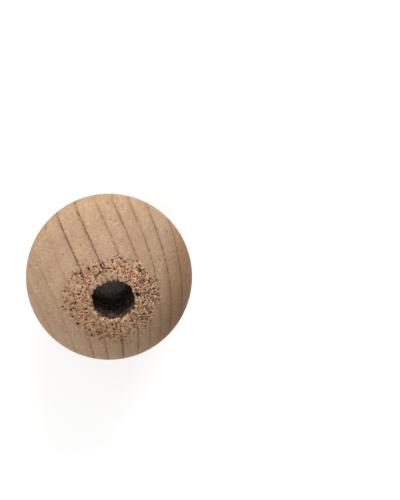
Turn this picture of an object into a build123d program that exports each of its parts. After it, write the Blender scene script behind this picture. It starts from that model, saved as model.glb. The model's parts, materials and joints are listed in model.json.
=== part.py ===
from build123d import *

import os

# A turned wooden bead: a ball with one straight hole drilled through its middle.
#
# The ball is turned from one piece of hardwood. The hole runs along the grain and along Z,
# so the bead stands upright on the rounded rim of the hole. The origin is the ball's centre.
# All sizes are in millimetres.

# Driving sizes
ball_diameter = 25.4  # a one-inch bead
hole_diameter = 6.35  # a quarter-inch hole, which takes a thick cord or a dowel
rim_rounding = 0.5  # radius that breaks the sharp edge where the hole meets the ball

# Sizes that follow
ball_radius = ball_diameter / 2
hole_radius = hole_diameter / 2
mouth_height = (ball_radius**2 - hole_radius**2) ** 0.5  # where the hole would meet the ball


with BuildPart() as bead:
    # The half section of the wood, seen from the front, to the right of the hole's axis
    with BuildSketch(Plane.XZ) as section:
        with BuildLine():
            hole_wall = Line((hole_radius, -mouth_height), (hole_radius, mouth_height))
            ThreePointArc(hole_wall @ 1, (ball_radius, 0), hole_wall @ 0)
        make_face()
        fillet(section.vertices(), radius=rim_rounding)
    revolve(axis=Axis.Z)

bead.part.label = "bead"

os.makedirs("parts", exist_ok=True)
export_step(bead.part, "parts/bead.step")
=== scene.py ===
"""A turned wooden bead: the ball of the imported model, dressed as sanded and drilled wood.

The bead stands on the rim of its hole. It is one closed surface, a profile carried round the
axis of the hole, with the torn end grain round both mouths pressed into it. It has two finishes:
sanded wood outside and drilled wood inside the hole. Lengths are in millimetres, and a mesh is
brought to metres when it is made.
"""

import json
import logging
import math
from collections.abc import Iterator
from dataclasses import dataclass
from enum import Enum
from functools import cached_property

import bpy
import numpy as np
from mathutils import Matrix, Vector


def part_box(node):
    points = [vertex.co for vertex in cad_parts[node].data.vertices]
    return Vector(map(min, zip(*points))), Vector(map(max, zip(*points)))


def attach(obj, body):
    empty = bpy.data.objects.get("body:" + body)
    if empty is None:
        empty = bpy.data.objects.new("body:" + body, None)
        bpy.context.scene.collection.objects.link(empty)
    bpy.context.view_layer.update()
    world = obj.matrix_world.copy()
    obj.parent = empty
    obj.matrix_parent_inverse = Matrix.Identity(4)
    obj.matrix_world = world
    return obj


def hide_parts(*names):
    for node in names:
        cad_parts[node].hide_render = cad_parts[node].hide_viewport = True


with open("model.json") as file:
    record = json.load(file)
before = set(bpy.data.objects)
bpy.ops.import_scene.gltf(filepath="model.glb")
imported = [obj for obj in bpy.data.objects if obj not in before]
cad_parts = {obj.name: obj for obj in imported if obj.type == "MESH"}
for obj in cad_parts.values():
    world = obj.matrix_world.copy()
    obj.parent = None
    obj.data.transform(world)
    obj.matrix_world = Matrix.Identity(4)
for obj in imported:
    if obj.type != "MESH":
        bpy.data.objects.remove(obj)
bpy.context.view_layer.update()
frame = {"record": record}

log = logging.getLogger("bead")

METRES = 0.001  # metres in a millimetre
WHOLE_TURN = 2 * math.pi
Array = np.ndarray
Socket = bpy.types.NodeSocket
Colour = tuple[float, float, float]


class Face(Enum):
    """Which finish a part of the surface has: the number is its material slot."""

    SANDED = 0
    DRILLED = 1


class Mark(Enum):
    """The values that the mesh carries at each point, for the finishes to read."""

    TORN = "torn"
    # Pits and hollows, which the sanded finish paints with shade.
    SHADED_PIT = "shaded_pit"
    LIP = "lip"
    # Pale and dark tone of the torn grain: painted highlights on fibres and the hole's front edge, painted
    # shade in the gaps and the groove, and pale and dark specks.
    TONE_AND_PAINTED_LIGHT = "tone"


# Random numbers and noise over a plane


def dice(column: Array, row: Array, seed: int) -> Array:
    """Gives each whole-numbered place its own random number.

    The place and the seed are each multiplied by a large odd number and added up. The sum is
    folded onto itself by a shift, multiplied and folded again, and its last 32 bits are read
    as a fraction.

    Args:
        column: Whole numbers across.
        row: Whole numbers along.
        seed: Another seed gives other numbers.

    Returns:
        Numbers from 0 to 1, always the same for the same place and seed.
    """
    bits = 0xFFFFFFFF
    by_column, by_row, by_seed, by_fold = 374761393, 668265263, 97463477, 1274126177
    mixed = column.astype(np.int64) * by_column + row.astype(np.int64) * by_row + seed * by_seed
    mixed = mixed & bits
    mixed = ((mixed ^ (mixed >> 13)) * by_fold) & bits
    mixed = mixed ^ (mixed >> 16)
    return mixed / (bits + 1)


def ease(value: Array, start: float | Array, stop: float | Array) -> Array:
    """Rises smoothly from 0 at start to 1 at stop, as t * t * (3 - 2 t). Start may be above stop."""
    share = np.clip((value - start) / (stop - start), 0, 1)
    return share * share * (3 - 2 * share)


@dataclass(frozen=True)
class Plan:
    """Places on a plane: x across and y along."""

    x: Array
    y: Array

    @cached_property
    def distance(self) -> Array:
        """How far each place is from the middle."""
        return np.hypot(self.x, self.y)

    @cached_property
    def angle(self) -> Array:
        """The angle round the middle."""
        return np.arctan2(self.y, self.x)

    def rolling(self, size: float, seed: int, layers: int = 1) -> Array:
        """Makes hills and hollows.

        Each layer blends the dice at the four corners of a square smoothly across it. The next
        layer has squares half as wide and hills half as high.

        Args:
            size: Width of the first layer's squares.
            seed: Another seed gives other hills.
            layers: How many layers are added up.

        Returns:
            Heights from about -1 to 1.
        """
        total = np.zeros_like(self.x)
        height = 1.0
        for layer in range(seed, seed + layers):
            across, along = self.x / size, self.y / size
            column, row = np.floor(across), np.floor(along)
            right, up = ease(across - column, 0, 1), ease(along - row, 0, 1)
            low, high = (
                dice(column, line, layer) * (1 - right) + dice(column + 1, line, layer) * right
                for line in (row, row + 1)
            )
            total += height * (2 * (low * (1 - up) + high * up) - 1)
            size, height = size / 2, height / 2
        return total / (2 - 2 * height)

    def squares(self, size: float) -> Iterator[tuple[Array, Array]]:
        """Gives the square of a mesh that holds each place, and the eight squares round it.

        Args:
            size: Width of a square.

        Returns:
            Nine pairs, one after the other: the column and the row of a square for each place.
        """
        column, row = np.floor(self.x / size), np.floor(self.y / size)
        for aside in (-1, 0, 1):
            for ahead in (-1, 0, 1):
                yield column + aside, row + ahead

    def scatter(self, size: float, seed: int) -> tuple[Array, Array]:
        """Finds the nearest of many scattered points, one in each square of a mesh.

        Args:
            size: Width of a square.
            seed: Another seed scatters the points otherwise.

        Returns:
            The distance to the nearest point, and a random number from 0 to 1 that belongs to it.
        """
        near, pick = np.full_like(self.x, np.inf), np.zeros_like(self.x)
        for square in self.squares(size):
            from_x = square[0] + dice(*square, seed) - self.x / size
            from_y = square[1] + dice(*square, seed + 1) - self.y / size
            distance = np.hypot(from_x, from_y)
            pick = np.where(distance < near, dice(*square, seed + 2), pick)
            near = np.minimum(near, distance)
        return near * size, pick


def dent(away: Array, width: float | Array) -> Array:
    """Gives 1 within a quarter of a dent's width of its middle, falling to 0 just outside its edge."""
    return 1 - ease(away, 0.25 * width, 0.65 * width)


# The torn end grain round a mouth of the hole


@dataclass(frozen=True)
class Strokes:
    """Short straight fibres, scattered one in each square.

    They differ in direction by up to the fan, in radians, and in strength from the weakest to 1.
    """

    length: float
    width: float
    spacing: float
    seed: int
    fan: float = 2.4
    weakest: float = 0.4

    def over(self, plan: Plan, share: Array, seed: int) -> Array:
        """Marks the fibres over a plan. They point away from the middle, more or less.

        Args:
            plan: The places.
            share: How many of the fibres are there at each place, from 0 to 1.
            seed: The seed of the mouth, to which the strokes' own is added.

        Returns:
            Numbers from 0 between the fibres up to each fibre's own strength.
        """
        seed = seed + self.seed
        total = np.zeros_like(plan.x)
        for square in plan.squares(self.spacing):
            from_x = plan.x - (square[0] + dice(*square, seed)) * self.spacing
            from_y = plan.y - (square[1] + dice(*square, seed + 1)) * self.spacing
            turn = np.arctan2(square[1], square[0]) + self.fan * (dice(*square, seed + 2) - 0.5)
            forward = np.abs(from_x * np.cos(turn) + from_y * np.sin(turn)) / self.length
            sideways = np.abs(from_y * np.cos(turn) - from_x * np.sin(turn)) / self.width
            body = (1 - ease(forward, 0.25, 0.6)) * (1 - ease(sideways, 0.2, 0.9))
            there = dice(*square, seed + 3) < share
            strength = self.weakest + (1 - self.weakest) * dice(*square, seed + 4)
            total = np.maximum(total, body * there * strength)
        return total


@dataclass(frozen=True)
class Hollow:
    """A place where fibres came out: its middle, its width and its share of the full depth.

    A long hollow follows a line of the given length, turned by the given angle.
    """

    x: float
    y: float
    width: float
    depth: float = 1.0
    length: float = 0.0
    turn: float = 0.0

    def spot(self, plan: Plan) -> Array:
        """Marks the hollow, from its line outwards.

        Args:
            plan: The places.

        Returns:
            The hollow's share of depth on its line, falling smoothly to 0 round it.
        """
        x, y = plan.x - self.x, plan.y - self.y
        along = x * math.cos(self.turn) + y * math.sin(self.turn)
        aside = y * math.cos(self.turn) - x * math.sin(self.turn)
        past = np.maximum(np.abs(along) - self.length / 2, 0)
        return self.depth * dent(np.hypot(past, aside), self.width)


@dataclass(frozen=True)
class Relief:
    """What the torn end grain does at each point: its height and the marks for the finishes."""

    height: Array
    marks: dict[Mark, Array]


@dataclass(frozen=True)
class TornMouth:
    """The end grain round one mouth, which the drill left torn, with a smooth lip on one side.

    The reach is the torn ring's outer radius at the right, the back, the left and the front.
    Light strokes are fibres that stand up, pale partly in their own colour and partly with painted
    highlight, and dark strokes are the gaps between them, painted with shade. The pale fringe is a
    painted highlight along the front of the hole's edge; it ends between two distances from the
    hole's edge, and the fine specks past the torn ring end between two radii. Painted highlight
    and shade are strongest on the lively side.
    """

    hole_radius: float
    seed: int
    reach: tuple[float, float, float, float] = (6.9, 6.3, 7.4, 6.6)
    strength: float = 1.0
    light_strokes: tuple[Strokes, ...] = (
        Strokes(0.70, 0.11, 0.42, seed=100),
        Strokes(0.52, 0.10, 0.36, seed=110),
        Strokes(0.36, 0.12, 0.36, seed=120),
    )
    dark_strokes: tuple[Strokes, ...] = (
        Strokes(0.30, 0.17, 0.38, seed=130),
        Strokes(0.44, 0.12, 0.36, seed=140),
    )
    light_share: float = 0.22
    dark_share: float = 0.5
    fibre_height: float = 0.06
    gap_depth: float = 0.10
    rolling_height: float = 0.05
    sunk: float = 0.05
    pit_spacing: float = 0.54
    pit_width: float = 0.28
    pit_depth: float = 0.32
    pit_share: float = 0.42
    hollows: tuple[Hollow, ...] = ()
    lip_width: float = 0.12
    lip_swell: float = 1.0
    lip_side: float = math.radians(118)
    groove_width: float = 0.14
    groove_depth: float = 0.10
    wander: float = 1.1
    fade_inside: float = 1.9
    fade_outside: float = 1.0
    ragged_bite: float = 0.22
    notch_bite: float = 0.2
    tooth_length: float = 0.25
    highlight_fringe: tuple[float, float] = (0.25, 0.6)
    speckled: tuple[float, float] = (6.3, 8.6)
    lively_side: float = math.radians(10)

    def edge(self, angle: Array) -> Array:
        """Gives the mean outer radius of the torn ring.

        It is the smooth curve a + b cos t + c sin t + d cos 2t through the four reaches, which
        are at the right, the back, the left and the front.

        Args:
            angle: Angle round the axis.

        Returns:
            The radius at each angle.
        """
        right, back, left, front = self.reach
        level = (right + back + left + front) / 4
        oval = (right + left - back - front) / 4
        swing = (right - left) / 2 * np.cos(angle) + (back - front) / 2 * np.sin(angle)
        return level + swing + oval * np.cos(2 * angle)

    def beside_lip(self, angle: Array, start: float, stop: float) -> Array:
        """Rises from 0 to 1 towards the lip's wide side, as the cosine of the angle to it does."""
        return ease(np.cos(angle - self.lip_side), start, stop)

    def lip(self, plan: Plan) -> Array:
        """Marks the smooth lip, from the hole's edge out to its width, which swells on one side.

        Args:
            plan: The places.

        Returns:
            Numbers from 0 to 0.7 where the lip is wide, and to 0.2 where it is narrow.
        """
        width = self.lip_width + self.lip_swell * self.beside_lip(plan.angle, 0.25, 0.9)
        width = width + 0.3 * plan.rolling(0.9, self.seed + 60, layers=2)
        edge = self.hole_radius + np.maximum(width, 0)
        smooth = 0.2 + 0.5 * self.beside_lip(plan.angle, 0.1, 0.8)
        return smooth * (1 - ease(plan.distance, edge - 0.12, edge + 0.3))

    def bite(self, angle: Array) -> Array:
        """Works out how far the hole's edge is frayed, in millimetres outwards.

        Args:
            angle: Angle round the axis.

        Returns:
            The bite at each angle: a ragged line with some sharp notches. Fibres hang into the
            hole at the back and the front.
        """
        shift = 9
        plan = Plan(self.hole_radius * np.cos(angle) + shift, self.hole_radius * np.sin(angle) + shift)
        ragged = plan.rolling(0.8, self.seed + 70, layers=3)
        notch = ease(plan.rolling(0.34, self.seed + 71), 0.2, 0.6)
        hanging = 0.05 + 0.18 * np.sin(angle) ** 2
        teeth = ease(plan.rolling(0.3, self.seed + 72), -0.1, 0.4) * ease(np.sin(angle), 0.5, 0.9)
        outwards = self.ragged_bite * ragged + self.notch_bite * notch
        return (outwards - hanging - self.tooth_length * teeth) * self.strength

    def torn(self, plan: Plan) -> Array:
        """Marks where the grain is torn: out to a wandering edge, in patches, less on the lip.

        Args:
            plan: The places.

        Returns:
            Numbers from 0 to the mouth's strength.
        """
        edge = self.edge(plan.angle) + self.wander * plan.rolling(2.4, self.seed, layers=3)
        inside = 1 - ease(plan.distance, edge - self.fade_inside, edge + self.fade_outside)
        torn = inside * (1 - self.lip(plan))
        patches = 0.7 + 0.3 * ease(plan.rolling(1.5, self.seed + 5), -0.5, 0.3)
        return torn * self.strength * patches

    def strongest(self, sets: tuple[Strokes, ...], plan: Plan, share: Array) -> Array:
        """Gives the strongest of several sets of strokes at each place."""
        return np.max([strokes.over(plan, share, self.seed) for strokes in sets], axis=0)

    def pits(self, plan: Plan, torn: Array) -> Array:
        """Marks the round pits, at some of the scattered points, and the hollows, which the finish paints
        with shade.

        Args:
            plan: The places.
            torn: How torn the grain is.

        Returns:
            The share of the pits' depth at each place. Each pit has a width of its own.
        """
        near, chosen = plan.scatter(self.pit_spacing, self.seed + 35)
        fine, coarse = np.floor(chosen * 999), np.floor(chosen * 99)
        own = dice(fine, coarse, self.seed)
        width = self.pit_width * (0.55 + 0.6 * own)
        open_share = self.pit_share * (0.8 + 0.5 * plan.rolling(1.7, self.seed + 45))
        shaded_pit = (chosen < open_share) * dent(near, width) * ease(torn, 0.12, 0.4)
        return np.max([shaded_pit, *(hollow.spot(plan) for hollow in self.hollows)], axis=0)

    def shaded_groove(self, plan: Plan, specks: Array) -> Array:
        """Marks the broken groove round the wide side of the lip, with painted shade in it: exp(-d * d)
        across its width.

        Args:
            plan: The places.
            specks: Small hills that make the groove wander.

        Returns:
            Numbers from 0 to 1.
        """
        radius = self.hole_radius + 0.35 + self.lip_swell * self.beside_lip(plan.angle, 0.25, 0.9)
        across = (plan.distance - radius - 0.2 * specks) / self.groove_width
        broken = ease(plan.rolling(0.6, self.seed + 52), -0.4, 0.2)
        return np.exp(-(across**2)) * self.beside_lip(plan.angle, 0.5, 0.9) * broken

    def relief(self, plan: Plan) -> Relief:
        """Works out the torn surface over the plan of the mouth.

        The height adds up the fibres, less the gaps, the pits and the groove, on slow hills that
        lie a little under the ball. The pits are marked for painted shade. The tone is above 0 for
        pale fibres, partly painted highlight, and below 0 for painted shade in the gaps and the
        groove: it is strongest on the lively side, holds a painted highlight on a fringe at the front
        of the hole's edge, and goes on as fine specks past the torn ring on the left.

        Args:
            plan: Places across and along the bead.

        Returns:
            The height over the sanded ball and the marks at each place.
        """
        torn = self.torn(plan)
        there = 1.4 * torn + 0.02
        light = self.strongest(self.light_strokes, plan, self.light_share * there)
        dark = self.strongest(self.dark_strokes, plan, self.dark_share * there) * (1 - light)
        shaded_pit = self.pits(plan, torn)
        specks = plan.rolling(0.3, self.seed + 50, layers=2)
        shaded_groove = self.shaded_groove(plan, specks)
        rough = (self.fibre_height * light - self.gap_depth * dark) * ease(torn, 0.0, 0.4)
        hills = self.rolling_height * (plan.rolling(0.45, self.seed + 12, layers=2) - 0.6)
        height = rough + torn * (hills - self.sunk)
        height = height - self.pit_depth * shaded_pit - self.groove_depth * shaded_groove
        # Painted highlight on the light strokes and painted shade in the gaps and the groove, both
        # stronger towards the lively side.
        lively = 1.2 + 0.35 * np.cos(plan.angle - self.lively_side)
        tone = (light - 0.95 * dark) * ease(torn, 0.0, 0.35) * lively - 1.1 * shaded_groove
        from_edge = plan.distance - self.hole_radius
        # Painted highlight along the front of the hole's edge.
        highlight_fringe = (1 - ease(from_edge, *self.highlight_fringe)) * ease(-np.sin(plan.angle), -0.1, 0.6)
        tone = tone + (0.12 + 0.4 * light) * highlight_fringe
        beyond = (1 - ease(plan.distance, *self.speckled)) * ease(-np.cos(plan.angle), -0.3, 0.6)
        fine = 0.45 * ease(specks, 0.2, 0.7) - 0.45 * ease(-specks, 0.1, 0.6) - 0.10
        tone = tone + beyond * (1 - torn) * fine
        marks = {Mark.TORN: torn, Mark.SHADED_PIT: shaded_pit, Mark.LIP: self.lip(plan), Mark.TONE_AND_PAINTED_LIGHT: tone}
        return Relief(height, marks)


# The bead


@dataclass(frozen=True)
class Profile:
    """The bead's half section as points in a closed loop, from the middle of the hole's wall up."""

    radius: Array
    height: Array
    out: Array
    up: Array
    from_edge: Array
    face: Array


@dataclass(frozen=True)
class Bead:
    """The whole bead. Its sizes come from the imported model."""

    ball_radius: float
    hole_radius: float
    wall_half: float
    foot_height: float
    columns: int = 480
    wall_rows: int = 15
    side_rows: int = 26
    top_rows: tuple[int, int] = (9, 76)
    foot_rows: tuple[int, int] = (6, 34)
    torn_angle: float = math.radians(40)
    wall_crowding: float = 1.9
    sanding_width: float = 5.0
    unevenness: float = 0.02
    bite_reach: float = 0.8
    mark_margin: float = 0.5
    wall_roughness: float = 0.05
    wall_worn: float = 0.06
    name: str = "bead_wood"

    @classmethod
    def from_frame(cls) -> "Bead":
        """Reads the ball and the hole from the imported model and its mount.

        Returns:
            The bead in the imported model's sizes.
        """
        low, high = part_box("bead")
        hole = frame["record"]["mounts"][0]["dims"]
        return cls(
            ball_radius=(high.x - low.x) / 2 / METRES,
            hole_radius=hole["r_mm"],
            wall_half=hole["length_mm"] / 2,
            foot_height=-low.z / METRES,
        )

    @property
    def rim_radius(self) -> float:
        """The radius that rounds the edge of the hole."""
        return self.foot_height - self.wall_half

    def half_profile(self, rim_rows: int, torn_rows: int) -> tuple[Array, ...]:
        """Lays out the upper half of the section, from the middle of the wall to the widest point.

        The wall is a straight line with rows that crowd towards the mouth. The rim is an arc of
        the rim's radius, from level inwards to where it meets the ball. The ball is an arc about
        the origin, finer where the grain is torn.

        Args:
            rim_rows: How many rows the rim has.
            torn_rows: How many rows the torn end grain has.

        Returns:
            Radius, height, the two parts of the outward normal, and the distance along the
            profile from the hole's edge, each for every row.
        """
        share = (np.arange(self.wall_rows) + 0.5) / self.wall_rows
        wall_z = self.wall_half * (1 - (1 - share) ** self.wall_crowding)
        rim_x = self.hole_radius + self.rim_radius
        meets = math.atan2(rim_x, self.wall_half)
        turn = np.linspace(-math.pi / 2, meets, rim_rows, endpoint=False)
        torn = np.linspace(meets, self.torn_angle, torn_rows, endpoint=False)
        side = np.linspace(self.torn_angle, math.pi / 2, self.side_rows, endpoint=False)
        lean = np.concatenate([turn, torn, side])
        on_rim = np.arange(lean.size) < rim_rows
        rim_r = rim_x + self.rim_radius * np.sin(lean)
        rim_z = self.wall_half + self.rim_radius * np.cos(lean)
        radius = np.where(on_rim, rim_r, self.ball_radius * np.sin(lean))
        height = np.where(on_rim, rim_z, self.ball_radius * np.cos(lean))
        out = np.concatenate([-np.ones_like(wall_z), np.sin(lean)])
        up = np.concatenate([np.zeros_like(wall_z), np.cos(lean)])
        along_rim = self.rim_radius * np.abs(lean + math.pi / 4)
        along_ball = self.rim_radius * (meets + math.pi / 4) + self.ball_radius * (lean - meets)
        along_wall = self.wall_half - wall_z + self.rim_radius * math.pi / 4
        from_edge = np.concatenate([along_wall, np.where(on_rim, along_rim, along_ball)])
        wall_r = np.full_like(wall_z, self.hole_radius)
        return np.concatenate([wall_r, radius]), np.concatenate([wall_z, height]), out, up, from_edge

    def profile(self) -> Profile:
        """Joins the upper half and the mirror image of a coarser lower half into one closed loop.

        Returns:
            The loop: up the wall, over the rim, down the ball, round the lower rim and up again.
        """
        upper = self.half_profile(*self.top_rows)
        lower = self.half_profile(*self.foot_rows)
        far_from_edge = 99.0
        widest = (self.ball_radius, 0.0, 1.0, 0.0, far_from_edge)
        mirror = (1, -1, 1, -1, 1)
        columns = [
            np.concatenate([top, [middle], sign * foot[::-1]])
            for top, middle, sign, foot in zip(upper, widest, mirror, lower)
        ]
        row = np.arange(columns[0].size)
        in_hole = (row < self.wall_rows) | (row >= row.size - self.wall_rows)
        return Profile(*columns, face=np.where(in_hole, Face.DRILLED.value, Face.SANDED.value))

    def mouths(self) -> tuple[TornMouth, TornMouth]:
        """Describes the torn grain at the top and at the foot.

        Returns:
            The top mouth, with the hollows that stand out round it, and the milder foot mouth.
        """
        hollows = (
            Hollow(3.66, 0.08, 0.74, 1.8),
            Hollow(4.12, 0.02, 0.32, 0.8),
            Hollow(-6.25, 0.40, 0.34),
            Hollow(-6.65, -0.65, 0.38),
            Hollow(-6.50, -1.75, 0.34),
            Hollow(-6.10, -3.05, 0.40),
            Hollow(-4.65, -2.35, 0.42, 0.7),
            Hollow(-4.35, -0.55, 0.32, 0.8),
            Hollow(-5.00, 1.80, 0.30, 0.8),
            Hollow(-2.80, 5.35, 0.40, 0.9),
            Hollow(-0.60, 5.12, 0.26, 0.6, length=0.5, turn=math.radians(-35)),
            Hollow(0.05, 4.92, 0.24, 0.7, length=0.5, turn=math.radians(-8)),
            Hollow(-1.40, 4.50, 0.24, 0.5, length=0.5, turn=math.radians(35)),
            Hollow(4.90, 3.40, 0.36, 0.9),
            Hollow(5.80, 1.60, 0.38, 0.9),
            Hollow(6.35, 0.15, 0.34),
            Hollow(4.55, 1.75, 0.50, 0.7),
            Hollow(5.45, -0.35, 0.36, 0.8),
            Hollow(3.75, -3.80, 0.36, 0.8),
            Hollow(-0.30, -3.95, 0.34, 0.7),
            Hollow(-0.90, -3.95, 0.34, 0.7),
            Hollow(-4.45, -4.25, 0.32, 0.8),
            Hollow(-2.95, -5.90, 0.34, 0.9),
            Hollow(-1.80, -5.80, 0.26, 0.7),
            Hollow(1.25, -5.95, 0.32, 0.8),
        )
        top = TornMouth(self.hole_radius, seed=11, hollows=hollows)
        foot = TornMouth(
            self.hole_radius,
            seed=57,
            reach=(5.4, 5.9, 5.6, 5.2),
            strength=0.75,
            lip_side=math.radians(-60),
        )
        return top, foot

    def surface(self) -> tuple[Array, dict[Mark, Array]]:
        """Carries the profile round the axis and presses the torn grain and the rough wall into it.

        A point at angle a on a row of radius r and height z lies at (r cos a, r sin a, z). It is
        moved along the row's outward normal by the relief, and outwards by the bite near the
        edge. No point lies past the level of either rim.

        Returns:
            The points, rows by columns by three, and the marks, rows by columns.
        """
        rows = self.profile()
        angle = np.arange(self.columns) * WHOLE_TURN / self.columns
        across, round_ = np.meshgrid(rows.radius, angle, indexing="ij")
        height = np.broadcast_to(rows.height[:, None], across.shape)
        x, y = across * np.cos(round_), across * np.sin(round_)
        top, foot = self.mouths()
        plan = Plan(x, y)
        upper, lower = top.relief(plan), foot.relief(plan)
        above = height >= 0
        outside = (rows.face == Face.SANDED.value)[:, None]
        from_edge = rows.from_edge[:, None]
        fade = ease(from_edge, 0.1, 0.9)
        lift = np.where(above, upper.height, lower.height) * outside * (0.5 + 0.5 * fade)
        lift = np.where(outside, lift, self.wall_relief(round_, height))
        sanding = Plan(x + height, y - height).rolling(self.sanding_width, 3, layers=2)
        sanding = sanding * self.unevenness
        lift = lift + np.where(outside, np.minimum(sanding, 0) * fade, 0)
        bite = np.where(above, top.bite(round_), foot.bite(round_))
        bite = bite * np.exp(-((from_edge / self.bite_reach) ** 2))
        reach = across + lift * rows.out[:, None] + bite
        level = np.clip(height + lift * rows.up[:, None], -self.foot_height, self.foot_height)
        points = np.stack([reach * np.cos(round_), reach * np.sin(round_), level], axis=-1)
        lowest_mark = self.ball_radius * math.cos(self.torn_angle) - self.mark_margin
        near_ends = outside & (np.abs(height) > lowest_mark)
        marks = {}
        for mark in Mark:
            values = np.where(above, upper.marks[mark], lower.marks[mark])
            marks[mark] = np.where(near_ends, values, 0)
        return points, marks

    def wall_relief(self, angle: Array, height: Array) -> Array:
        """Works out the rough wall of the hole: shallow drill rings and grooves along the grain.

        Both fade out at the seam, where the angle starts again.

        Args:
            angle: Angle round the axis at each point.
            height: Height at each point.

        Returns:
            How far the wall stands into the hole, which is mostly a little below 0.
        """
        around = angle * self.hole_radius
        off_seam = 1 - ease(np.abs(angle - math.pi), math.pi - 0.3, math.pi)
        rings = Plan(around * 0.25, height).rolling(0.55, 81, layers=2)
        grooves = Plan(around, height * 0.2).rolling(0.35, 87, layers=2)
        return self.wall_roughness * (rings + grooves) * off_seam - self.wall_worn

    def build(self) -> bpy.types.Object:
        """Makes the bead's mesh, its marks, its two finishes and its map.

        Returns:
            The finished piece, riding on the root body.
        """
        points, marks = self.surface()
        rows, columns = points.shape[:2]
        row, column = np.meshgrid(np.arange(rows), np.arange(columns), indexing="ij")
        next_row, next_column = (row + 1) % rows, (column + 1) % columns
        corners = [(row, column), (next_row, column), (next_row, next_column), (row, next_column)]
        indices = np.stack([a * columns + b for a, b in corners], axis=-1).reshape(-1)
        mesh = bpy.data.meshes.new(self.name)
        mesh.vertices.add(rows * columns)
        mesh.vertices.foreach_set("co", (points * METRES).astype(np.float32).reshape(-1))
        mesh.loops.add(indices.size)
        mesh.loops.foreach_set("vertex_index", indices.astype(np.int32))
        mesh.polygons.add(indices.size // 4)
        mesh.polygons.foreach_set("loop_start", np.arange(0, indices.size, 4, dtype=np.int32))
        face = np.repeat(self.profile().face, columns)
        mesh.polygons.foreach_set("material_index", face.astype(np.int32))
        mesh.update(calc_edges=True)
        mesh.shade_smooth()
        for mark, values in marks.items():
            layer = mesh.attributes.new(mark.value, "FLOAT", "POINT")
            layer.data.foreach_set("value", values.astype(np.float32).reshape(-1))
        right = np.stack([column, column, column + 1, column + 1], axis=-1) / columns
        up = np.stack([row, row + 1, row + 1, row], axis=-1) / rows
        spread = mesh.uv_layers.new(name="OFBake")
        spread.uv.foreach_set("vector", np.stack([right, up], axis=-1).astype(np.float32).reshape(-1))
        grain = Grain.of_ball(self.ball_radius)
        mesh.materials.append(SandedWood(self.ball_radius).material(grain))
        mesh.materials.append(DrilledWood(self.wall_half).material(grain))
        piece = put_in_scene(self.name, mesh)
        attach(piece, "root")
        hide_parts("bead")
        return piece


# Help with shader nodes


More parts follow.
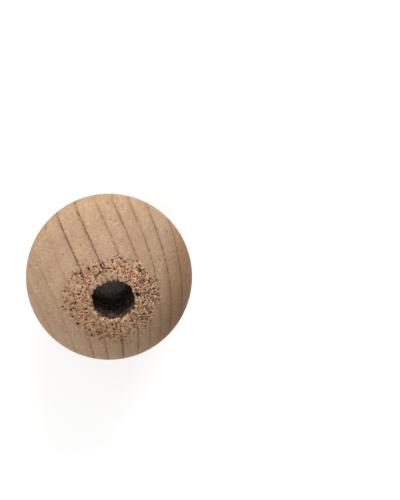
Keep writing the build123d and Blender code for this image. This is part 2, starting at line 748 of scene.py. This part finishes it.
class Wiring:
    """Puts nodes into one node tree and joins them. A value is a socket or a plain number."""

    def __init__(self, tree: bpy.types.NodeTree) -> None:
        """Starts on an empty tree."""
        self.tree = tree

    def add(self, kind: str, **settings: object) -> bpy.types.Node:
        """Adds a node and sets it up.

        Args:
            kind: Blender's name for the node.
            **settings: The node's own settings.

        Returns:
            The new node.
        """
        node = self.tree.nodes.new(kind)
        for name, value in settings.items():
            setattr(node, name, value)
        return node

    def join(self, value: object, socket: Socket) -> None:
        """Brings a value to a socket, by a link or as its plain value.

        Args:
            value: A socket, a number, a place or a colour.
            socket: Where it goes.
        """
        if isinstance(value, Socket):
            self.tree.links.new(value, socket)
        elif isinstance(value, tuple) and len(value) == 3 and socket.type == "RGBA":
            socket.default_value = (*value, 1.0)
        else:
            socket.default_value = value

    def maths(self, operation: str, *values: object, clamp: bool = False) -> Socket:
        """Adds a Math node.

        Args:
            operation: Blender's name for the sum.
            *values: What goes in, in order.
            clamp: Whether the result is kept from 0 to 1.

        Returns:
            The result.
        """
        node = self.add("ShaderNodeMath", operation=operation, use_clamp=clamp)
        for value, socket in zip(values, node.inputs):
            self.join(value, socket)
        return node.outputs[0]

    def scaled(self, place: object, scale: tuple[float, float, float]) -> Socket:
        """Multiplies a place by a scale along each axis.

        Args:
            place: The place.
            scale: The scale along X, Y and Z.

        Returns:
            The scaled place.
        """
        node = self.add("ShaderNodeVectorMath", operation="MULTIPLY")
        self.join(place, node.inputs[0])
        self.join(scale, node.inputs[1])
        return node.outputs[0]

    def split(self, place: object) -> bpy.types.NodeOutputs:
        """Takes a place apart.

        Args:
            place: The place.

        Returns:
            Its three parts, along X, Y and Z.
        """
        node = self.add("ShaderNodeSeparateXYZ")
        self.join(place, node.inputs[0])
        return node.outputs

    def along(self, place: object, direction: tuple[float, float, float]) -> Socket:
        """Measures a place along a direction.

        Args:
            place: The place.
            direction: The direction.

        Returns:
            The part of the place that lies along the direction, times the direction's length.
        """
        node = self.add("ShaderNodeVectorMath", operation="DOT_PRODUCT")
        self.join(place, node.inputs[0])
        self.join(direction, node.inputs[1])
        return node.outputs["Value"]

    def spread(self, value: object, low: object, high: object, to: tuple[float, float] = (0, 1)) -> Socket:
        """Adds a smooth Map Range node.

        Args:
            value: What is mapped.
            low: The value that becomes the first of to.
            high: The value that becomes the second of to.
            to: The two ends of the result.

        Returns:
            The result, which stays between the two ends.
        """
        node = self.add("ShaderNodeMapRange", interpolation_type="SMOOTHSTEP")
        for given, socket in zip((value, low, high, *to), node.inputs):
            self.join(given, socket)
        return node.outputs[0]

    def noise(self, place: object, scale: object, detail: float, rough: float) -> Socket:
        """Adds a Noise Texture node.

        Args:
            place: The place.
            scale: How many hills go to a unit of the place: one number, or one for each axis.
            detail: How many finer layers are added.
            rough: How strong the finer layers are.

        Returns:
            The noise, about 0.5 on average.
        """
        node = self.add("ShaderNodeTexNoise")
        evenly = not isinstance(scale, tuple)
        self.join(place if evenly else self.scaled(place, scale), node.inputs["Vector"])
        node.inputs["Scale"].default_value = scale if evenly else 1
        node.inputs["Detail"].default_value = detail
        node.inputs["Roughness"].default_value = rough
        return node.outputs[0]

    def blend(self, share: object, low: object, high: object, mode: str = "MIX") -> Socket:
        """Mixes two colours.

        Args:
            share: How much of the second colour shows, from 0 to 1.
            low: The first colour.
            high: The second colour.
            mode: How they are mixed.

        Returns:
            The mixed colour.
        """
        node = self.add("ShaderNodeMix", data_type="RGBA", blend_type=mode)
        self.join(share, node.inputs["Factor"])
        self.join(low, [s for s in node.inputs if s.name == "A" and s.type == "RGBA"][0])
        self.join(high, [s for s in node.inputs if s.name == "B" and s.type == "RGBA"][0])
        return [s for s in node.outputs if s.type == "RGBA"][0]

    def cover(self, colour: object, over: Colour, mark: object, share: float) -> Socket:
        """Lays a colour over another where a mark is.

        Args:
            colour: The colour below.
            over: The colour laid over it.
            mark: Where it is laid. It may go below 0 and above 1.
            share: How much of it shows where the mark is 1. A share below 0 lays it where the
                mark is below 0.

        Returns:
            The mixed colour.
        """
        return self.blend(self.maths("MULTIPLY", mark, share, clamp=True), colour, over)

    def mark(self, mark: Mark) -> Socket:
        """Reads one of the mesh's marks."""
        return self.add("ShaderNodeAttribute", attribute_name=mark.value).outputs["Fac"]

    def group(self, tree: bpy.types.NodeTree, place: object) -> bpy.types.NodeOutputs:
        """Adds a node group and gives it the place.

        Args:
            tree: The group's tree.
            place: The place that the group takes.

        Returns:
            What the group puts out.
        """
        node = self.add("ShaderNodeGroup", node_tree=tree)
        self.join(place, node.inputs["Place"])
        return node.outputs

    def bump(self, height: object, distance: float, shader: bpy.types.Node) -> None:
        """Gives a shader a bump.

        Args:
            height: The height at each point, where 1 stands for the distance.
            distance: The distance in millimetres.
            shader: The shader.
        """
        node = self.add("ShaderNodeBump")
        node.inputs["Distance"].default_value = distance * METRES
        self.join(height, node.inputs["Height"])
        self.join(node.outputs[0], shader.inputs["Normal"])


def blank_tree(owner: bpy.types.Material | bpy.types.World) -> Wiring:
    """Empties the nodes of a material or a world.

    Args:
        owner: The material or the world.

    Returns:
        The wiring for its new nodes.
    """
    owner.use_nodes = True
    owner.node_tree.nodes.clear()
    return Wiring(owner.node_tree)


def put_in_scene(name: str, data: bpy.types.ID) -> bpy.types.Object:
    """Makes an object and puts it in the scene.

    Args:
        name: The object's name.
        data: Its mesh, lamp or camera.

    Returns:
        The object.
    """
    thing = bpy.data.objects.new(name, data)
    bpy.context.scene.collection.objects.link(thing)
    return thing


def new_group(
    name: str, titles: tuple[str, ...]
) -> tuple[bpy.types.NodeTree, Wiring, Socket, bpy.types.NodeInputs]:
    """Starts a shader node group that takes a place and puts out values.

    Args:
        name: The group's name.
        titles: The names of its outputs.

    Returns:
        The group's tree, its wiring, the place and the sockets that take the results.
    """
    tree = bpy.data.node_groups.new(name, "ShaderNodeTree")
    tree.interface.new_socket("Place", in_out="INPUT", socket_type="NodeSocketVector")
    for title in titles:
        tree.interface.new_socket(title, in_out="OUTPUT", socket_type="NodeSocketFloat")
    wire = Wiring(tree)
    place = wire.add("NodeGroupInput").outputs["Place"]
    return tree, wire, place, wire.add("NodeGroupOutput").inputs


# What the wood shows, inside and out


@dataclass(frozen=True)
class GrowthLine:
    """The dark line that ends one year's growth: its place across the bead and how dark it is."""

    place: float
    dark_top: float
    dark_foot: float
    width: float = 0.20


@dataclass(frozen=True)
class Growth:
    """The growth lines, as they cross the bead.

    A line is where the growth field has the line's place as its value. The field is
    x + lean y + bow y y - taper x y + flare x y y, so the lines are nearly straight along Y,
    bow to one side, and stand closer together at one end. They run down along Z, and sway a
    little below the middle of the bead. A line is thinned where the growth surface cuts the
    ball at a low angle, by sqrt(1 - (x / radius) squared).
    """

    radius: float
    lean: float = 0.08
    bow: float = 0.0100
    taper: float = 0.0168
    flare: float = 0.00056
    waver: float = 0.10
    sway: float = 0.5
    thinnest: float = 0.2
    halo_width: float = 0.6
    halo: float = 0.16
    late_width: float = 1.3
    lines: tuple[GrowthLine, ...] = (
        GrowthLine(-11.3, 0.15, 0.25),
        GrowthLine(-8.5, 0.2, 0.3),
        GrowthLine(-5.5, 0.12, 0.45),
        GrowthLine(-2.95, 1.05, 0.5, 0.22),
        GrowthLine(0.0, 0.9, 1.1, 0.22),
        GrowthLine(2.85, 0.38, 0.5, 0.24),
        GrowthLine(5.0, 0.5, 0.35),
        GrowthLine(6.9, 0.42, 0.3),
        GrowthLine(8.75, 0.7, 0.8, 0.19),
        GrowthLine(10.7, 0.6, 0.9, 0.24),
    )

    def group(self) -> bpy.types.NodeTree:
        """Makes the node group that finds the lines.

        Returns:
            A group that takes a place in millimetres and puts out the lines and the darker wood
            that leads up to each line.
        """
        tree, wire, place, out = new_group("growth lines", ("Line", "Late"))
        x, y, z = wire.split(place)
        square = wire.maths("MULTIPLY", y, y)
        field = wire.maths("MULTIPLY_ADD", y, self.lean, x)
        field = wire.maths("MULTIPLY_ADD", square, self.bow, field)
        field = wire.maths("MULTIPLY_ADD", wire.maths("MULTIPLY", x, y), -self.taper, field)
        field = wire.maths("MULTIPLY_ADD", wire.maths("MULTIPLY", x, square), self.flare, field)
        ragged = wire.noise(wire.scaled(place, (1, 1, 0.12)), 1.5, 5, 0.75)
        field = wire.maths("MULTIPLY_ADD", wire.maths("SUBTRACT", ragged, 0.5), 2 * self.waver, field)
        slow = wire.maths("SUBTRACT", wire.noise(place, (0.06, 0.06, 0.1), 1, 0.5), 0.5)
        field = wire.maths("MULTIPLY_ADD", slow, wire.spread(z, 6.0, -9.0, (0, 2 * self.sway)), field)
        broken = wire.noise(wire.scaled(place, (1, 1, 0.1)), 2.2, 4, 0.65)
        patchy = wire.spread(broken, 0.34, 0.62, (0.25, 1.3))
        level = wire.maths("ABSOLUTE", z)
        patchy = wire.maths("MULTIPLY", patchy, wire.spread(level, 0.0, 5.5, (0.5, 1.0)))
        aside = wire.maths("DIVIDE", x, self.radius)
        slope = wire.maths("SUBTRACT", 1.0, wire.maths("MULTIPLY", aside, aside))
        thin = wire.maths("SQRT", wire.maths("MAXIMUM", slope, self.thinnest**2))
        towards_top = wire.spread(y, -8.0, 8.0)
        line_total, late_total = 0.0, 0.0
        for line in self.lines:
            off = wire.maths("SUBTRACT", line.place, field)
            away = wire.maths("DIVIDE", wire.maths("ABSOLUTE", off), thin)
            near = wire.spread(away, line.width, 0.3 * line.width)
            near = wire.maths("ADD", near, wire.spread(away, self.halo_width, 0.0, (0.0, self.halo)))
            dark = wire.maths("MULTIPLY_ADD", towards_top, line.dark_top - line.dark_foot, line.dark_foot)
            line_total = wire.maths("MULTIPLY_ADD", near, dark, line_total)
            before = wire.spread(off, self.late_width, 0.0)
            before = wire.maths("MULTIPLY", before, wire.spread(off, -0.06, 0.06))
            late_total = wire.maths("MULTIPLY_ADD", before, dark, late_total)
        wire.join(wire.maths("MULTIPLY", line_total, patchy), out["Line"])
        wire.join(late_total, out["Late"])
        return tree


def figure_group() -> bpy.types.NodeTree:
    """Makes the node group for the small marks of the grain, which run along Z.

    Returns:
        A group that takes a place in millimetres and puts out the fibres as dots at the ends and
        streaks at the sides, the broader streaks, fine speckles, the rays as thin plates along
        X, soft clouds and smaller patches of colour, and dark slits where a fibre bundle is open.
    """
    noises = {
        "Fibre": ((3.4, 3.4, 0.14), 3, 0.75),
        "Streak": ((1.1, 1.1, 0.05), 4, 0.65),
        "Speckle": ((3.4, 3.4, 0.7), 2, 0.6),
        "Ray": ((1.5, 4.6, 1.2), 2, 0.6),
        "Cloud": ((0.16, 0.16, 0.16), 3, 0.55),
        "Tint": ((0.75, 0.45, 0.10), 3, 0.6),
    }
    tree, wire, place, out = new_group("wood figure", (*noises, "Slit"))
    found = {title: wire.noise(place, *settings) for title, settings in noises.items()}
    lively = wire.spread(wire.noise(place, (0.3, 0.2, 0.1), 1, 0.5), 0.36, 0.62, (0.35, 1.3))
    found["Speckle"] = wire.maths("MULTIPLY", wire.maths("SUBTRACT", found["Speckle"], 0.5), lively)
    found["Ray"] = wire.maths("MULTIPLY", wire.spread(found["Ray"], 0.52, 0.7), lively)
    found["Cloud"] = wire.spread(found["Cloud"], 0.35, 0.7)
    found["Tint"] = wire.spread(found["Tint"], 0.36, 0.64)
    found["Slit"] = 0.0
    for scale, rarity in (((1.5, 1.5, 0.3), 0.82), ((3.2, 3.2, 0.55), 0.86)):
        cells = wire.add("ShaderNodeTexVoronoi", feature="F1")
        wire.join(wire.scaled(place, scale), cells.inputs["Vector"])
        cells.inputs["Scale"].default_value = 1
        chosen = wire.add("ShaderNodeSeparateColor")
        wire.join(cells.outputs["Color"], chosen.inputs[0])
        rare = wire.maths("GREATER_THAN", chosen.outputs[0], rarity)
        core = wire.spread(cells.outputs["Distance"], 0.26, 0.10)
        found["Slit"] = wire.maths("MULTIPLY_ADD", core, rare, found["Slit"])
    for title, value in found.items():
        wire.join(value, out[title])
    return tree


@dataclass(frozen=True)
class Grain:
    """The two node groups that both finishes use."""

    growth: bpy.types.NodeTree
    figure: bpy.types.NodeTree

    @classmethod
    def of_ball(cls, radius: float) -> "Grain":
        """Makes the groups for a ball of the given radius."""
        return cls(Growth(radius).group(), figure_group())


class Blank:
    """A material at its start: wiring, shader, place in millimetres, growth lines and wood figure."""

    def __init__(self, name: str, grain: Grain) -> None:
        """Starts the material and reads the grain at each point.

        Args:
            name: The material's name.
            grain: The grain's node groups.
        """
        self.material = bpy.data.materials.new(name)
        self.wire = blank_tree(self.material)
        self.shader = self.wire.add("ShaderNodeBsdfPrincipled")
        output = self.wire.add("ShaderNodeOutputMaterial")
        self.wire.join(self.shader.outputs[0], output.inputs["Surface"])
        where = self.wire.add("ShaderNodeTexCoord").outputs["Object"]
        self.place = self.wire.scaled(where, (1 / METRES,) * 3)
        self.lines = self.wire.group(grain.growth, self.place)
        self.marks = self.wire.group(grain.figure, self.place)


@dataclass(frozen=True)
class SandedWood:
    """Bare turned hardwood: sanded sides, end grain with growth lines, and torn grain."""

    ball_radius: float
    side: Colour = (0.65, 0.473, 0.322)
    end: Colour = (0.56, 0.387, 0.236)
    rosy: Colour = (0.56, 0.335, 0.235)
    # Warm brown of the soft clouds, also used as painted shade on one side.
    warm_cloud_and_side_shade: Colour = (0.42, 0.235, 0.125)
    belt: Colour = (0.62, 0.39, 0.21)
    line: Colour = (0.24, 0.13, 0.062)
    torn: Colour = (0.51, 0.26, 0.14)
    # Pale torn fibres and specks, with painted highlights on the fibres and along the hole's front edge.
    pale_fibre_and_highlight: Colour = (1.0, 0.62, 0.40)
    # Painted shade in the gaps between torn fibres and in the groove, and dark specks.
    gap_shade_and_dark_speck: Colour = (0.10, 0.042, 0.020)
    # Painted shade in the pits and hollows.
    shaded_pit: Colour = (0.05, 0.022, 0.012)
    lip: Colour = (0.58, 0.38, 0.275)
    roughness: float = 0.7
    specular: float = 0.15
    relief: float = 0.035
    fibre_share: float = 0.45
    streak_share: float = 0.30
    grit_share: float = 2.4

    def sanded(self, blank: Blank) -> Socket:
        """Works out the colour of the sanded wood, without its dark marks.

        It goes from side to end grain with height. Rosy patches and soft clouds lie over it,
        with a belt of warmer wood at mid height and a painted shade of warm brown on one side. It is
        multiplied by a tone of about 1, which adds up the fibres, streaks, speckles, rays and late wood.

        Args:
            blank: The material.

        Returns:
            The colour.
        """
        wire, marks, radius = blank.wire, blank.marks, self.ball_radius
        x, y, z = wire.split(blank.place)
        level = wire.maths("ABSOLUTE", z)
        at_end = wire.spread(level, 0.05 * radius, 0.6 * radius)
        colour = wire.blend(at_end, self.side, self.end)
        colour = wire.cover(colour, self.rosy, marks["Tint"], 0.75)
        colour = wire.cover(colour, self.warm_cloud_and_side_shade, marks["Cloud"], 0.2)
        at_belt = wire.spread(level, 0.5 * radius, 0.05 * radius)
        colour = wire.cover(colour, self.belt, at_belt, 0.7)
        # Painted shade: warm brown laid over one side of the ball, towards +X.
        aside = wire.spread(wire.maths("MULTIPLY_ADD", y, -0.4, x), 0.45 * radius, 0.95 * radius)
        colour = wire.cover(colour, self.warm_cloud_and_side_shade, aside, 1.0)
        tone = 1.0 - 0.5 * (self.fibre_share + self.streak_share)
        for mark, share in (
            (marks["Fibre"], self.fibre_share),
            (marks["Streak"], self.streak_share),
            (marks["Speckle"], 0.5),
            (marks["Ray"], 0.20),
            (blank.lines["Late"], -0.10),
        ):
            tone = wire.maths("MULTIPLY_ADD", mark, share, tone)
        grey = wire.add("ShaderNodeCombineColor")
        for socket in grey.inputs:
            wire.join(tone, socket)
        return wire.blend(1.0, colour, grey.outputs[0], "MULTIPLY")

    def material(self, grain: Grain) -> bpy.types.Material:
        """Makes the material.

        Args:
            grain: The grain's node groups.

        Returns:
            A material with every mark of the wood laid over its colour in turn, among them painted
            highlight on torn fibres and painted shade in the gaps, the groove and the pits, and a bump
            that follows the wood's marks.
        """
        blank = Blank("sanded_wood", grain)
        wire, shader, marks, line = blank.wire, blank.shader, blank.marks, blank.lines["Line"]
        torn, tone = wire.mark(Mark.TORN), wire.mark(Mark.TONE_AND_PAINTED_LIGHT)
        grit = wire.noise(blank.place, 5.5, 3, 0.7)
        gritty = wire.maths("MULTIPLY", wire.maths("SUBTRACT", grit, 0.5), torn)
        tone = wire.maths("MULTIPLY_ADD", gritty, self.grit_share, tone)
        colour = self.sanded(blank)
        for over, mark, share in (
            (self.line, marks["Slit"], 0.6),
            (self.line, line, 0.75),
            (self.lip, wire.mark(Mark.LIP), 0.9),
            (self.torn, torn, 0.7),
            (self.line, line, 0.65),
            # Painted highlight on pale torn fibres and the hole's front edge; painted shade in the gaps,
            # the groove and the pits.
            (self.pale_fibre_and_highlight, tone, 0.9),
            (self.gap_shade_and_dark_speck, tone, -0.85),
            (self.shaded_pit, wire.mark(Mark.SHADED_PIT), 0.97),
        ):
            colour = wire.cover(colour, over, mark, share)
        wire.join(colour, shader.inputs["Base Color"])
        wire.join(wire.maths("MULTIPLY_ADD", torn, 0.2, self.roughness), shader.inputs["Roughness"])
        shader.inputs["Specular IOR Level"].default_value = self.specular
        coarse = wire.maths("MULTIPLY_ADD", torn, 1.6, 0.25)
        height = wire.maths("MULTIPLY_ADD", grit, coarse, marks["Fibre"])
        height = wire.maths("MULTIPLY_ADD", line, -0.5, height)
        height = wire.maths("MULTIPLY_ADD", marks["Slit"], -1.5, height)
        wire.bump(height, self.relief, shader)
        return blank.material


@dataclass(frozen=True)
class DrilledWood:
    """The wall of the hole: brown at the mouth, darker below that, and paler further down with painted
    light, as if it came in through the far end.

    Each change starts and ends at a depth in millimetres below the end of the plain wall.
    """

    wall_half: float
    darkens: tuple[float, float] = (1.0, 5.0)
    # Depths over which painted light from the far end comes in.
    pales: tuple[float, float] = (11.0, 16.0)
    smoothens: tuple[float, float] = (7.0, 17.0)
    mouth: Colour = (0.135, 0.068, 0.034)
    darker_wall: Colour = (0.10, 0.06, 0.042)
    # Painted light deep in the hole, as if it came in through the far end.
    painted_far_light: Colour = (0.55, 0.30, 0.18)
    fibre: Colour = (0.32, 0.20, 0.13)
    # Painted highlights along the drill rings.
    ripple_highlight: Colour = (0.60, 0.35, 0.22)
    rough: float = 0.9
    burnished: float = 0.44
    specular: float = 0.5
    relief: float = 0.55

    def material(self, grain: Grain) -> bpy.types.Material:
        """Makes the material.

        Args:
            grain: The grain's node groups.

        Returns:
            A material that changes with the height in the hole, with painted light deep in it, and
            with the growth lines, fibres and drill rings of the wood in it, the rings painted with
            highlights.
        """
        blank = Blank("drilled_wood", grain)
        wire, shader, place, marks = blank.wire, blank.shader, blank.place, blank.marks
        rings = wire.noise(place, (1.1, 1.1, 0.7), 3, 0.6)
        depth = wire.maths("SUBTRACT", self.wall_half, wire.split(place)[2])
        depth = wire.maths("MULTIPLY_ADD", rings, 2.0, depth)
        colour = wire.blend(wire.spread(depth, *self.darkens), self.mouth, self.darker_wall)
        # Painted light deep in the hole and painted highlights along the drill rings.
        for over, mark, share in (
            (self.painted_far_light, wire.spread(depth, *self.pales), 1.0),
            (self.fibre, wire.spread(marks["Fibre"], 0.4, 0.75), 0.3),
            (self.ripple_highlight, wire.spread(rings, 0.49, 0.62), 0.75),
            (self.darker_wall, blank.lines["Line"], 0.4),
        ):
            colour = wire.cover(colour, over, mark, share)
        wire.join(colour, shader.inputs["Base Color"])
        roughness = wire.spread(depth, *self.smoothens, (self.rough, self.burnished))
        wire.join(roughness, shader.inputs["Roughness"])
        shader.inputs["Specular IOR Level"].default_value = self.specular
        grit = wire.noise(wire.scaled(place, (3, 3, 1.2)), 1.5, 4, 0.7)
        height = wire.maths("MULTIPLY_ADD", rings, 3.0, wire.maths("ADD", grit, marks["Fibre"]))
        wire.bump(height, self.relief, shader)
        return blank.material


# The studio


@dataclass(frozen=True)
class Studio:
    """A pale floor, a pale room, one large lamp and the camera.

    The bead's middle and width are in pixels of the picture. The length of room_bright is the
    share by which the room's light rises towards it. Towards room_dim, whose length is one, the
    light falls to nothing between the two dim values.
    """

    bead: Bead
    picture: tuple[int, int] = (400, 500)
    bead_middle: tuple[float, float] = (109.0, 276.7)
    bead_width: float = 166.2
    lens: float = 250.0
    nearest_shown: float = 10.0
    towards_camera: tuple[float, float, float] = (0.0, 0.297, 0.955)
    picture_up: tuple[float, float, float] = (0.197, 0.936, -0.291)
    room_light: float = 0.745
    room_bright: tuple[float, float, float] = (-0.02, -0.18, 0.0)
    room_dim: tuple[float, float, float] = (0.93, -0.37, 0.0)
    dim_start: float = 0.03
    dim_stop: float = 0.68
    lamp_light: float = 0.54
    lamp_from: tuple[float, float, float] = (0.30, 0.84, 0.44)
    lamp_distance: float = 600.0
    lamp_size: float = 350.0
    floor_radius: float = 2500.0
    floor_sides: int = 64
    floor_colour: Colour = (0.8, 0.8, 0.8)
    floor_shown: float = 1.16

    def seen_directly(self, wire: Wiring) -> Socket:
        """Tells what is looked at from what only lights things.

        Args:
            wire: The wiring of the floor or of the room.

        Returns:
            1 for what the camera, a mirror or glass shows, and 0 for light that falls on things.
        """
        path = wire.add("ShaderNodeLightPath").outputs
        shown = wire.maths("MAXIMUM", path["Is Camera Ray"], path["Is Glossy Ray"])
        return wire.maths("MAXIMUM", shown, path["Is Transmission Ray"])

    def room(self) -> None:
        """Lights everything softly and shows the room as white.

        The light from a direction is the room's light times 1 plus the part of the direction
        that points to the bright side, and it falls off towards the dim side.
        """
        world = bpy.data.worlds.new("room")
        bpy.context.scene.world = world
        wire = blank_tree(world)
        shown = self.seen_directly(wire)
        direction = wire.add("ShaderNodeTexCoord").outputs["Generated"]
        bright = wire.along(direction, self.room_bright)
        dim = wire.spread(wire.along(direction, self.room_dim), self.dim_stop, self.dim_start)
        light = wire.maths("MULTIPLY", wire.maths("ADD", bright, 1.0), dim)
        light = wire.maths("MULTIPLY", light, self.room_light)
        background = wire.add("ShaderNodeBackground")
        background.inputs["Color"].default_value = (1, 1, 1, 1)
        wire.join(wire.maths("MAXIMUM", light, shown), background.inputs["Strength"])
        output = wire.add("ShaderNodeOutputWorld")
        wire.join(background.outputs[0], output.inputs["Surface"])

    def floor(self) -> bpy.types.Object:
        """Makes the floor, a wide disc at the bead's foot that shows white round the shadow.

        Returns:
            The floor.
        """
        rim = np.arange(self.floor_sides) * WHOLE_TURN / self.floor_sides
        level = np.full_like(rim, -self.bead.foot_height)
        edge = np.stack([self.floor_radius * np.cos(rim), self.floor_radius * np.sin(rim), level], axis=-1)
        mesh = bpy.data.meshes.new("floor")
        mesh.from_pydata((edge * METRES).tolist(), [], [list(range(self.floor_sides))])
        material = bpy.data.materials.new("pale_floor")
        wire = blank_tree(material)
        matt = wire.add("ShaderNodeBsdfDiffuse")
        matt.inputs["Color"].default_value = (*self.floor_colour, 1)
        glow = wire.add("ShaderNodeEmission")
        missing = self.floor_shown - self.room_light * self.floor_colour[0]
        wire.join(wire.maths("MULTIPLY", self.seen_directly(wire), missing), glow.inputs["Strength"])
        both = wire.add("ShaderNodeAddShader")
        wire.join(matt.outputs[0], both.inputs[0])
        wire.join(glow.outputs[0], both.inputs[1])
        output = wire.add("ShaderNodeOutputMaterial")
        wire.join(both.outputs[0], output.inputs["Surface"])
        mesh.materials.append(material)
        floor = put_in_scene("floor", mesh)
        return floor

    def lamp(self) -> bpy.types.Object:
        """Hangs the lamp, a large soft square that faces the bead.

        A lamp of power P at distance d lights a surface that faces it as P / (pi d)^2 of white,
        so the power follows from the light that is wanted.

        Returns:
            The lamp.
        """
        data = bpy.data.lights.new("soft_box", "AREA")
        distance = self.lamp_distance * METRES
        data.energy = self.lamp_light * (math.pi * distance) ** 2
        data.size = self.lamp_size * METRES
        lamp = put_in_scene("soft_box", data)
        direction = Vector(self.lamp_from).normalized()
        lamp.location = direction * distance
        lamp.rotation_euler = (-direction).to_track_quat("-Z", "Y").to_euler()
        return lamp

    def camera(self) -> bpy.types.Object:
        """Places the camera so that the bead has its size and place in the picture.

        The camera looks along the line to the bead's centre and is then turned so that this
        line meets the picture at the bead's middle, away from the centre of the picture.

        Returns:
            The camera, set as the scene's own.
        """
        data = bpy.data.cameras.new("camera")
        data.lens = self.lens
        width, height = self.picture
        focal = self.lens / data.sensor_width * max(width, height)
        half_angle = math.atan(self.bead_width / 2 / focal)
        distance = self.bead.ball_radius / math.sin(half_angle) * METRES
        back = Vector(self.towards_camera).normalized()
        right = Vector(self.picture_up).cross(back).normalized()
        up = back.cross(right)
        straight = Matrix((right, up, back)).transposed()
        aside = self.bead_middle[0] - width / 2
        below = self.bead_middle[1] - height / 2
        line = Vector((aside, -below, -focal))
        turn = line.rotation_difference(Vector((0, 0, -1))).to_matrix()
        camera = put_in_scene("camera", data)
        camera.matrix_world = Matrix.Translation(back * distance) @ (straight @ turn).to_4x4()
        data.clip_start = self.nearest_shown * METRES
        bpy.context.scene.camera = camera
        return camera


def main() -> None:
    """Builds the bead and its studio."""
    logging.basicConfig(level=logging.INFO, format="%(message)s")
    bpy.context.scene.view_settings.view_transform = "Standard"
    bead = Bead.from_frame()
    studio = Studio(bead)
    log.info("camera: %s", studio.camera().name)
    piece = bead.build()
    log.info("%s: %d faces", piece.name, len(piece.data.polygons))
    studio.room()
    log.info("floor: %s", studio.floor().name)
    log.info("lamp: %s", studio.lamp().name)


if __name__ == "__main__":
    main()
